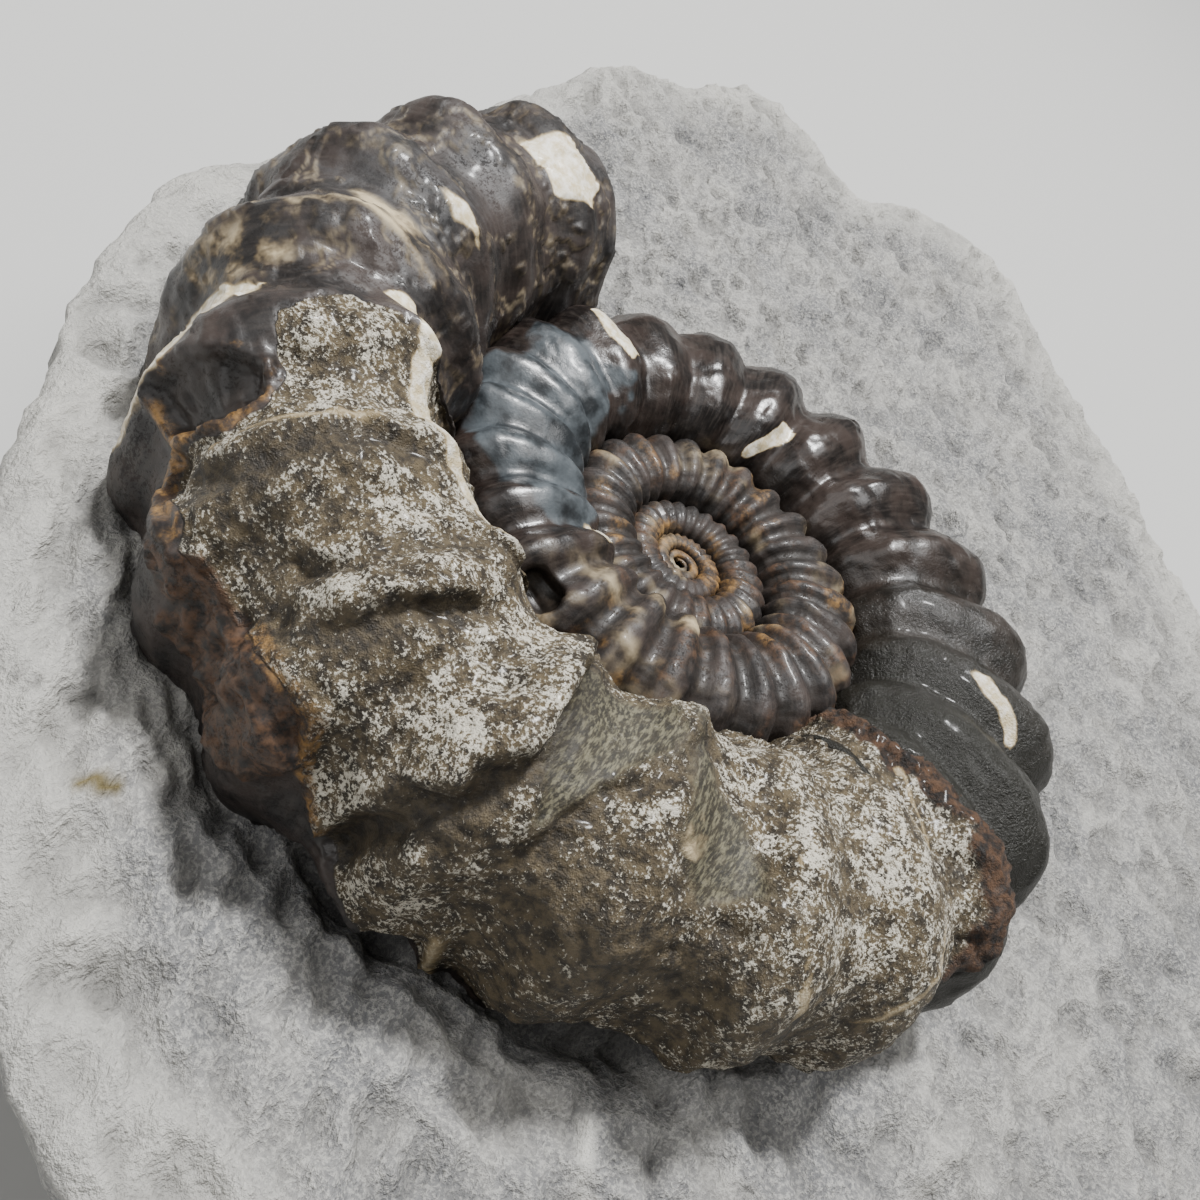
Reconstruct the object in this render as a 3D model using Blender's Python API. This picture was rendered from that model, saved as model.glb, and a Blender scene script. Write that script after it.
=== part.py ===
"""Fossil ribbed ammonite lying half sunk in its grey stone slab.

Units are metres, +Z is up and the slab's flat underside lies on Z = 0.
The coil is described in its own frame: its axis is Z, its middle plane is Z = 0, and the whorl angle
runs clockwise seen from above, from +X. The shell grows outwards as that angle rises.
"""
import math

import bmesh
import bpy
from mathutils import Matrix, Vector

MM = 0.001
TURN = 2.0 * math.pi
SHARP_ANGLE = math.radians(50.0)

# Coil growth
SEAM_RADIUS = 14.7 * MM
WHORL_RATE = 2.08
SEAM_RISE = 0.20
FIRST_ANGLE = math.radians(-147.0 - 3 * 360.0)
LAST_ANGLE = math.radians(213.0)
COLUMNS_PER_TURN = 90

# Whorl section, as shares of the seam radius, inside the last turn
VENTER_SHARE = 2.0
WIDTH_SHARE = 0.54
INNER_SHARE = 0.97
SHOULDER_POWER = 0.80

# Last turn, which grows slower outwards and swells sideways: angle in degrees, venter radius, half width
LAST_TURN = (
    (-200.0, 19.6 * MM, 5.3 * MM),
    (-100.0, 23.4 * MM, 6.0 * MM),
    (-30.0, 28.0 * MM, 6.5 * MM),
    (20.0, 31.1 * MM, 7.2 * MM),
    (60.0, 33.2 * MM, 8.1 * MM),
    (95.0, 34.0 * MM, 9.3 * MM),
    (130.0, 35.1 * MM, 10.4 * MM),
    (165.0, 36.0 * MM, 11.1 * MM),
    (215.0, 36.8 * MM, 11.2 * MM),
)

# Section points, as angles round the section from the inner seam over the crest to the underside
FLANK_POINTS = (142.0, 118.0, 95.0, 73.0, 54.0)
SHOULDER_POINT = 38.0
VENTER_POINTS = (22.0, 6.0, -10.0, -28.0, -46.0, -64.0)

# Ribs: close on the inner turns, widest on the turn before the last, closer again on the swollen last turn
EARLY_RIB_STEP = math.radians(12.0)
RIB_STEP = math.radians(18.0)
RIBS_FROM = math.radians(-180.0)
LATE_RIB_STEP = math.radians(16.0)
LATE_RIBS_FROM = math.radians(36.0)
RIB_HEIGHT_SHARE = 0.046
RIB_SHARPNESS = 1.4
TUBERCLE_HEIGHT = 1.3 * MM
TUBERCLE_SECTION_ANGLE = 118.0
TUBERCLE_SPREAD = 20.0
TUBERCLES_AT = math.radians(78.0)
TUBERCLES_REACH = math.radians(34.0)

# How the shell lies in the slab
COIL_TILT = math.radians(-5.3)
COIL_LIFT = 3.3 * MM
CLEARANCE = 0.4 * MM
POCKET_EXTRA_ANGLE = math.radians(1.0)
POCKET_TOP = 20.0 * MM
UNDERSIDE_DEPTH = 7.5 * MM

# Slab, with its outline measured from the coil's axis
SLAB_THICKNESS = 23.0 * MM
SLAB_OUTLINE = (
    (-2.0, -52.0), (-16.0, -44.5), (-28.0, -35.5), (-37.5, -22.5), (-43.5, -11.0), (-47.0, 1.5),
    (-46.0, 15.0), (-43.0, 30.0), (-41.5, 46.0), (-41.0, 58.0), (-37.0, 64.5), (-34.5, 71.0),
    (-30.5, 77.5), (-24.0, 80.0), (-17.0, 77.5), (-11.5, 78.5), (-5.5, 83.5), (2.5, 88.0),
    (10.0, 86.0), (20.0, 76.5), (30.5, 68.0), (39.0, 59.0), (48.5, 49.5), (58.0, 35.0),
    (64.5, 17.0), (66.0, -3.0), (60.5, -21.0), (49.0, -35.0), (33.0, -45.5), (14.0, -52.5),
)
OUTLINE_COLUMNS = 120
# Slab rings from the underside's edge up to the middle of the top: share of the outline, share of the height
SLAB_RINGS = (
    (0.86, 0.0), (0.90, 0.12), (0.945, 0.38), (0.975, 0.64), (0.995, 0.84), (1.0, 0.93),
    (0.985, 0.985), (0.945, 1.0), (0.87, 1.0), (0.76, 1.0), (0.62, 1.0), (0.45, 1.0), (0.26, 1.0),
)
RIM_RING = 7
SLAB_MIDDLE = (10.0 * MM, 17.0 * MM)
FRACTURE_DEPTH = 1.1 * MM
TOP_SWELL = 0.7 * MM


def clear_scene():
    for item in list(bpy.data.objects):
        bpy.data.objects.remove(item, do_unlink=True)


def stone_material(name, colour, roughness):
    material = bpy.data.materials.new(name)
    material.use_nodes = True
    shader = material.node_tree.nodes["Principled BSDF"]
    shader.inputs["Base Color"].default_value = (*colour, 1.0)
    shader.inputs["Roughness"].default_value = roughness
    shader.inputs["Metallic"].default_value = 0.0
    return material


def smooth_table(angle, column):
    """Catmull-Rom reading of one column of LAST_TURN."""
    rows = LAST_TURN
    place = 0
    while place < len(rows) - 2 and angle > rows[place + 1][0]:
        place += 1
    before = rows[max(place - 1, 0)]
    start = rows[place]
    end = rows[place + 1]
    after = rows[min(place + 2, len(rows) - 1)]
    width = end[0] - start[0]
    share = (angle - start[0]) / width
    slope_in = (end[column] - before[column]) / max(end[0] - before[0], 1.0) * width
    slope_out = (after[column] - start[column]) / max(after[0] - start[0], 1.0) * width
    square = share * share
    cube = square * share
    return (
        (2 * cube - 3 * square + 1) * start[column]
        + (cube - 2 * square + share) * slope_in
        + (3 * square - 2 * cube) * end[column]
        + (cube - square) * slope_out
    )


def seam_radius(angle):
    return SEAM_RADIUS * WHORL_RATE ** (angle / TURN)


def whorl_size(angle):
    """Seam radius, venter radius and half width of the whorl at one angle."""
    seam = seam_radius(angle)
    degrees = math.degrees(angle)
    if degrees <= LAST_TURN[0][0]:
        return seam, seam * VENTER_SHARE, seam * WIDTH_SHARE
    return seam, smooth_table(degrees, 1), smooth_table(degrees, 2)


def rib_wave(angle):
    """1 on a rib's crest, 0 between ribs."""
    phase = 0.5 + min(max(angle, RIBS_FROM), LATE_RIBS_FROM) / RIB_STEP
    phase += min(angle - RIBS_FROM, 0.0) / EARLY_RIB_STEP
    phase += max(angle - LATE_RIBS_FROM, 0.0) / LATE_RIB_STEP
    return (0.5 + 0.5 * math.cos(TURN * phase)) ** RIB_SHARPNESS


def section_point(angle, section_angle, swell):
    """One point of the whorl section as (radius, height), with its rib and tubercle."""
    seam, venter, half_width = whorl_size(angle)
    inner = seam * INNER_SHARE
    middle = (inner + venter) / 2
    half_height = (venter - inner) / 2
    turn = math.radians(section_angle)
    cosine = math.cos(turn)
    sine = math.sin(turn)
    radius = middle + half_height * math.copysign(abs(cosine) ** SHOULDER_POWER, cosine)
    height = half_width * math.copysign(abs(sine) ** SHOULDER_POWER, sine)
    rise = rib_wave(angle) * RIB_HEIGHT_SHARE * venter
    rise *= 0.45 + 0.55 * math.cos(turn / 2) ** 2
    off_tubercle = (section_angle - TUBERCLE_SECTION_ANGLE) / TUBERCLE_SPREAD
    off_place = (angle - TUBERCLES_AT) / TUBERCLES_REACH
    rise += rib_wave(angle) * TUBERCLE_HEIGHT * math.exp(-off_tubercle ** 2 - off_place ** 2)
    rise += swell
    return radius + rise * cosine, height + rise * sine


def on_coil(angle, radius, height):
    return Vector((radius * math.cos(angle), -radius * math.sin(angle), height))


def coil_to_slab():
    """The tilt and lift that lay the coil in the slab, seen from the coil's axis at the slab's top."""
    lift = Matrix.Translation((0.0, 0.0, SLAB_THICKNESS + COIL_LIFT))
    return lift @ Matrix.Rotation(COIL_TILT, 4, "X")


def close_plane(mesh, loop):
    """Fills a flat closed loop of points."""
    edges = []
    for place, corner in enumerate(loop):
        following = loop[(place + 1) % len(loop)]
        edge = mesh.edges.get((corner, following))
        if edge is None:
            edge = mesh.edges.new((corner, following))
        edges.append(edge)
    bmesh.ops.triangle_fill(mesh, use_beauty=True, edges=edges)


def column_angles(turns, end_angle):
    """Angles of the sections, oldest first."""
    count = int(round(turns * COLUMNS_PER_TURN))
    return [end_angle - (count - place) * TURN / COLUMNS_PER_TURN for place in range(count + 1)]


def shell_columns(mesh, angles):
    """Rows of points over the shell's upper side; neighbouring turns share the points of their seam."""
    last = len(angles) - 1
    seams = []
    for angle in angles:
        seam = seam_radius(angle)
        seams.append(mesh.verts.new(on_coil(angle, seam, seam * SEAM_RISE)))
    columns = []
    for place, angle in enumerate(angles):
        column = [seams[place]]
        opening = min(place / (0.5 * COLUMNS_PER_TURN), 1.0)
        for section_angle in FLANK_POINTS:
            radius, height = section_point(angle, section_angle, 0.0)
            flat = radius * SEAM_RISE
            column.append(mesh.verts.new(on_coil(angle, radius, flat + (height - flat) * opening)))
        if place + COLUMNS_PER_TURN <= last:
            column.append(seams[place + COLUMNS_PER_TURN])
        else:
            column.append(mesh.verts.new(on_coil(angle, *section_point(angle, SHOULDER_POINT, 0.0))))
        columns.append(column)
    return columns


def add_venter(mesh, column, angle):
    for section_angle in VENTER_POINTS:
        column.append(mesh.verts.new(on_coil(angle, *section_point(angle, section_angle, 0.0))))


def skin(mesh, columns, rows_of):
    """Faces between neighbouring columns."""
    for place in range(len(columns) - 1):
        here = columns[place]
        there = columns[place + 1]
        for row in range(rows_of(place)):
            mesh.faces.new((here[row], here[row + 1], there[row + 1], there[row]))


def finish_mesh(mesh, name, material, transform):
    bmesh.ops.triangulate(mesh, faces=mesh.faces[:])
    bmesh.ops.transform(mesh, matrix=transform, verts=mesh.verts[:])
    bmesh.ops.recalc_face_normals(mesh, faces=mesh.faces[:])
    data = bpy.data.meshes.new(name)
    mesh.to_mesh(data)
    mesh.free()
    data.shade_smooth()
    data.set_sharp_from_angle(angle=SHARP_ANGLE)
    data.materials.append(material)
    item = bpy.data.objects.new(name, data)
    bpy.context.collection.objects.link(item)
    return item


def build_ammonite(transform):
    angles = column_angles((LAST_ANGLE - FIRST_ANGLE) / TURN, LAST_ANGLE)
    mesh = bmesh.new()
    columns = shell_columns(mesh, angles)
    last = len(angles) - 1
    aperture_start = last - COLUMNS_PER_TURN
    for place in range(aperture_start, last + 1):
        add_venter(mesh, columns[place], angles[place])
    inner_rows = len(FLANK_POINTS) + 1
    outer_rows = inner_rows + len(VENTER_POINTS)
    skin(mesh, columns, lambda place: outer_rows if place >= aperture_start else inner_rows)

    # First chamber: a fan over the smallest turn, from a point just off the coil's axis
    first_seam = seam_radius(angles[0])
    opposite = angles[0] + math.pi
    nucleus = mesh.verts.new(on_coil(opposite, 0.3 * first_seam, 0.6 * first_seam))
    rim = [columns[place][0] for place in range(COLUMNS_PER_TURN + 1)]
    rim += list(reversed(columns[0][1:inner_rows]))
    for place, corner in enumerate(rim):
        mesh.faces.new((nucleus, corner, rim[(place + 1) % len(rim)]))

    # Underside, a shallow cone hidden in the stone, and the broken end of the last whorl
    middle = mesh.verts.new((0.0, 0.0, -UNDERSIDE_DEPTH))
    for place in range(aperture_start, last):
        mesh.faces.new((middle, columns[place][-1], columns[place + 1][-1]))
    older = columns[aperture_start][inner_rows + 1:]
    close_plane(mesh, columns[last] + [middle] + list(reversed(older)))
    material = stone_material("fossil_shell", (0.115, 0.095, 0.078), 0.5)
    return finish_mesh(mesh, "ammonite", material, transform)


def build_pocket(transform):
    """The cutter for the slab's pocket: the underside of the last turn, a little larger, open upwards."""
    angles = column_angles(1.0, LAST_ANGLE + POCKET_EXTRA_ANGLE)
    mesh = bmesh.new()
    columns = []
    for angle in angles:
        column = [mesh.verts.new(on_coil(angle, *section_point(angle, 0.0, CLEARANCE)))]
        top = column[0].co.copy()
        top.z = POCKET_TOP
        column.insert(0, mesh.verts.new(top))
        for section_angle in VENTER_POINTS[2:]:
            column.append(mesh.verts.new(on_coil(angle, *section_point(angle, section_angle, CLEARANCE))))
        columns.append(column)
    skin(mesh, columns, lambda place: len(columns[0]) - 1)
    bottom = mesh.verts.new((0.0, 0.0, -UNDERSIDE_DEPTH - CLEARANCE))
    top = mesh.verts.new((0.0, 0.0, POCKET_TOP))
    for place in range(len(columns) - 1):
        mesh.faces.new((bottom, columns[place][-1], columns[place + 1][-1]))
        mesh.faces.new((top, columns[place + 1][0], columns[place][0]))
    loop = columns[-1] + [bottom] + list(reversed(columns[0])) + [top]
    close_plane(mesh, loop)
    material = stone_material("pocket_guide", (0.5, 0.5, 0.5), 0.8)
    cutter = finish_mesh(mesh, "pocket_cutter", material, transform)
    cutter.hide_render = True
    cutter.display_type = "WIRE"
    return cutter


def outline_point(share):
    """A point on the slab's smooth outline, measured from the slab's middle."""
    count = len(SLAB_OUTLINE)
    place = share * count
    start = int(place) % count
    blend = place - int(place)
    corners = [Vector(SLAB_OUTLINE[(start + step) % count]) for step in (-1, 0, 1, 2)]
    square = blend * blend
    cube = square * blend
    point = 0.5 * (
        2 * corners[1]
        + (corners[2] - corners[0]) * blend
        + (2 * corners[0] - 5 * corners[1] + 4 * corners[2] - corners[3]) * square
        + (3 * corners[1] - corners[0] - 3 * corners[2] + corners[3]) * cube
    )
    return point * MM - Vector(SLAB_MIDDLE)


def fracture(share, height_share):
    """Broken lobes round the slab's side, as a depth that repeats once round the outline."""
    around = share * TURN
    lobes = math.sin(9 * around + 4.0 * height_share) + 0.7 * math.sin(16 * around - 5.0 * height_share + 1.3)
    return FRACTURE_DEPTH * 0.5 * lobes


def top_swell(x, y):
    """The gentle swells and hollows of the slab's top."""
    wave = math.sin(x / (13.0 * MM) + 0.6) * math.cos(y / (17.0 * MM) - 0.4)
    wave += 0.5 * math.sin((x + 1.7 * y) / (11.0 * MM) + 2.0)
    return TOP_SWELL * 0.66 * (wave - 0.4)


def build_slab():
    mesh = bmesh.new()
    rings = []
    middle = Vector(SLAB_MIDDLE)
    for ring, (reach, height_share) in enumerate(SLAB_RINGS):
        corners = []
        for step in range(OUTLINE_COLUMNS):
            share = step / OUTLINE_COLUMNS
            flat = outline_point(share)
            depth = fracture(share, height_share) if 0 < ring < RIM_RING else 0.0
            spot = middle + flat * reach + flat.normalized() * depth
            height = SLAB_THICKNESS * height_share
            if height_share >= 1.0:
                height += top_swell(spot.x, spot.y)
            corners.append(mesh.verts.new((spot.x, spot.y, height)))
        rings.append(corners)
    for lower, upper in zip(rings, rings[1:]):
        for step in range(OUTLINE_COLUMNS):
            following = (step + 1) % OUTLINE_COLUMNS
            mesh.faces.new((lower[step], lower[following], upper[following], upper[step]))
    underside = mesh.verts.new((middle.x, middle.y, 0.0))
    summit = mesh.verts.new((middle.x, middle.y, SLAB_THICKNESS + top_swell(middle.x, middle.y)))
    for step in range(OUTLINE_COLUMNS):
        following = (step + 1) % OUTLINE_COLUMNS
        mesh.faces.new((underside, rings[0][following], rings[0][step]))
        mesh.faces.new((summit, rings[-1][step], rings[-1][following]))
    material = stone_material("grey_limestone", (0.46, 0.46, 0.44), 0.85)
    return finish_mesh(mesh, "matrix_slab", material, Matrix())


def centre_on_slab(slab, others):
    """Moves every mesh so that the slab's box is centred on the origin in plan."""
    spots = [corner.co for corner in slab.data.vertices]
    shift = Vector((
        -(min(spot.x for spot in spots) + max(spot.x for spot in spots)) / 2,
        -(min(spot.y for spot in spots) + max(spot.y for spot in spots)) / 2,
        0.0,
    ))
    for item in [slab] + others:
        item.data.transform(Matrix.Translation(shift))


def main():
    clear_scene()
    transform = coil_to_slab()
    ammonite = build_ammonite(transform)
    pocket = build_pocket(transform)
    slab = build_slab()
    centre_on_slab(slab, [ammonite, pocket])
    cut = slab.modifiers.new("pocket", "BOOLEAN")
    cut.operation = "DIFFERENCE"
    cut.object = pocket
    cut.solver = "EXACT"


main()
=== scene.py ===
import math
from functools import partial
from itertools import product

import bmesh
import bpy
import numpy as np
from mathutils import Matrix, Vector


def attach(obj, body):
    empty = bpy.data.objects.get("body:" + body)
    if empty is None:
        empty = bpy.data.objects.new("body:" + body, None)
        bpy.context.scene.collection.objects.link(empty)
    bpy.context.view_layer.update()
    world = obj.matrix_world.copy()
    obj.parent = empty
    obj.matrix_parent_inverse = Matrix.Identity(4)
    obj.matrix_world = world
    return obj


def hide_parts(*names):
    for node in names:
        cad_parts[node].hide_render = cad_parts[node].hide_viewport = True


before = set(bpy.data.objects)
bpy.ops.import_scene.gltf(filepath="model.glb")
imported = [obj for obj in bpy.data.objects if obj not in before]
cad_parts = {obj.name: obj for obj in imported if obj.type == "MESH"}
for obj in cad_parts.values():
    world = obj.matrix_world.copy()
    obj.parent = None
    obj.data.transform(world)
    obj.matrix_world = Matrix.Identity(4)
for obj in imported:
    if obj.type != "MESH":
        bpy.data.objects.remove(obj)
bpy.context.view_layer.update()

MM = 0.001

# Kinds of node and their usual settings
MATH = "ShaderNodeMath"
NOISE = "ShaderNodeTexNoise"
ATTRIBUTE = "ShaderNodeAttribute"
MIX = "ShaderNodeMix"
RANGE = "ShaderNodeMapRange"
BUMP = "ShaderNodeBump"
CLAMPED_DIVIDE = {"operation": "DIVIDE", "use_clamp": True}
COLOURS = {"data_type": "RGBA", "clamp_factor": True}
# A soft range's inputs are the value, where it starts and ends, and what it gives there
SOFT = {"interpolation_type": "SMOOTHSTEP"}

# The coil's own frame in the part: its axis is Z and its middle plane Z = 0. A whorl angle runs clockwise
# from +X, seen from above. A section angle is 0 on the venter, 90 on the upper flank and 180 at the seam.
COIL_CENTRE = Vector((-9.007, -16.846, 26.3)) * MM
COIL_TILT = math.radians(-5.3)

# Growth rule of the coil: the seam's radius at whorl angle 0 in millimetres, its growth in a turn, how far
# the section reaches in towards the seam, and how blunt the section's corners are
SEAM_RADIUS = 14.7
WHORL_RATE = 2.08
INNER_SHARE = 0.97
SHOULDER_POWER = 0.80
# The last turns: whorl angle, the venter's radius and half the whorl's width
LAST_TURN = (
    (-200.0, 19.6, 5.3), (-100.0, 23.4, 6.0), (-30.0, 28.0, 6.5), (20.0, 31.1, 7.2), (60.0, 33.2, 8.1),
    (95.0, 34.0, 9.3), (130.0, 35.1, 10.4), (165.0, 36.0, 11.1), (215.0, 36.8, 11.2),
)
COIL_START = -147.0 - 5 * 360.0
INNER_END = 44.0
BODY_START = 14.0
COIL_END = 213.0
CAP_COLUMNS = 10.0
# Each piece's grid as columns along the coil and rows round it, and its ribs as height share and sharpness
INNER_GRID = (860, 110)
INNER_RIBS = (0.066, 0.55)
BODY_GRID = (430, 220)
BODY_RIBS = (0.046, 1.4)

# Degrees from rib to rib, and the whorl angles where the step changes
EARLY_RIB_STEP = 14.0
RIB_STEP = 18.0
RIBS_FROM = -180.0
LATE_RIB_STEP = 16.0
LATE_RIBS_FROM = 36.0

# The photograph and the camera that took it
PHOTO_PIXELS = 1200.0
FOCAL_PIXELS = 1150.0
PIXELS_PER_MM = 14.0
CAMERA_ELEVATION = math.radians(45.65)
CAMERA_ROLL = math.radians(41.28)
COIL_CENTRE_PIXEL = (678.9, 564.4)


def coil_matrix():
    return Matrix.Translation(COIL_CENTRE) @ Matrix.Rotation(COIL_TILT, 4, "X")


def add_item(name, data):
    item = bpy.data.objects.new(name, data)
    bpy.context.collection.objects.link(item)
    return item


def linear(hex_colour):
    """An sRGB hex colour as linear RGBA."""
    parts = [int(hex_colour[place:place + 2], 16) / 255 for place in (1, 3, 5)]
    return tuple(c / 12.92 if c <= 0.04045 else ((c + 0.055) / 1.055) ** 2.4 for c in parts) + (1.0,)


def shown(sockets, name):
    """The socket with this number, or the one with this name that the node shows."""
    if isinstance(name, int):
        return sockets[name]
    return next(socket for socket in sockets if socket.enabled and name in ("", socket.name))


def add_node(tree, kind, settings, links):
    """Adds a node. Its settings are properties and inputs' values, or just the operation. A link is a node,
    a socket, or a value or a hex colour for an input, and a list holds them in the order of the inputs."""
    made = tree.nodes.new(kind)
    if isinstance(settings, str):
        settings = {"operation": settings}
    if isinstance(links, list):
        links = dict(enumerate(links))
    values = {}
    for name, value in settings.items():
        if isinstance(name, str) and hasattr(made, name):
            setattr(made, name, value)
        else:
            values[name] = value
    for name, source in (values | links).items():
        socket = shown(made.inputs, name)
        if isinstance(source, bpy.types.Node):
            tree.links.new(shown(source.outputs, ""), socket)
        elif isinstance(source, bpy.types.NodeSocket):
            tree.links.new(source, socket)
        else:
            socket.default_value = linear(source) if str(source).startswith("#") else source
    return made


# Noise and masks on arrays

LATTICE = np.random.default_rng(1861).uniform(-1.0, 1.0, (64, 64, 64))


def grain(points, size, seed):
    """Smooth noise between -1 and 1 whose lumps are about one size across."""
    scaled = points / size + seed * 17.31
    cell = np.floor(scaled).astype(int)
    blend = scaled - cell
    blend = blend * blend * (3.0 - 2.0 * blend)
    total = np.zeros(len(points))
    for corner in product((0, 1), repeat=3):
        spot = (cell + corner) & 63
        weight = np.prod(np.where(corner, blend, 1.0 - blend), axis=1)
        total += weight * LATTICE[spot[:, 0], spot[:, 1], spot[:, 2]]
    return total


def layered(points, size, seed, octaves=4, share=0.5):
    total = np.zeros(len(points))
    strength = 1.0
    for octave in range(octaves):
        total += strength * grain(points, size / 2.0 ** octave, seed + octave)
        strength *= share
    return total


def rise(values, start, end):
    """0 below start, 1 above end, smooth between."""
    share = np.clip((values - start) / (end - start), 0.0, 1.0)
    return share * share * (3.0 - 2.0 * share)


def seam_radius(angle):
    return SEAM_RADIUS * WHORL_RATE ** (angle / 360.0)


def smooth_line(values, knots):
    """Reads a curve, given as (place, height) knots, with smooth steps between them."""
    places = np.array([knot[0] for knot in knots], float)
    heights = np.array([knot[1] for knot in knots], float)
    inside = np.clip(values, places[0], places[-1])
    spot = np.clip(np.searchsorted(places, inside, side="right") - 1, 0, len(places) - 2)
    blend = (inside - places[spot]) / (places[spot + 1] - places[spot])
    blend = blend * blend * (3.0 - 2.0 * blend)
    return heights[spot] * (1.0 - blend) + heights[spot + 1] * blend


def path_distance(spots, path):
    """Distance of flat places from a path."""
    nearest = np.full(len(spots), 1e9)
    corners = np.array(path, float)
    for start, end in zip(corners, corners[1:]):
        run = end - start
        share = np.clip((spots - start) @ run / (run @ run), 0.0, 1.0)
        nearest = np.minimum(nearest, np.linalg.norm(spots - start - share[:, None] * run, axis=1))
    return nearest


# Geometry Nodes: the ribbed coil

# Largest venter radius that the curve can hold, in seam radii
RATIO_RANGE = 2.5


def set_curve(node, points, handle):
    curve = node.mapping.curves[0]
    while len(curve.points) > 2:
        curve.points.remove(curve.points[1])
    curve.points[0].location = points[0]
    curve.points[1].location = points[-1]
    for place in points[1:-1]:
        curve.points.new(*place)
    for point in curve.points:
        point.handle_type = handle
    node.mapping.update()


# The coil tree's inputs that both pieces share
COIL_SETTINGS = {
    "Cap Columns": CAP_COLUMNS, "Seam Radius": SEAM_RADIUS * MM, "Whorl Rate": WHORL_RATE,
    "Inner Share": INNER_SHARE, "Shoulder Power": SHOULDER_POWER, "Early Rib Step": EARLY_RIB_STEP,
    "Rib Step": RIB_STEP, "Ribs From": RIBS_FROM, "Late Rib Step": LATE_RIB_STEP,
    "Late Ribs From": LATE_RIBS_FROM,
}


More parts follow.
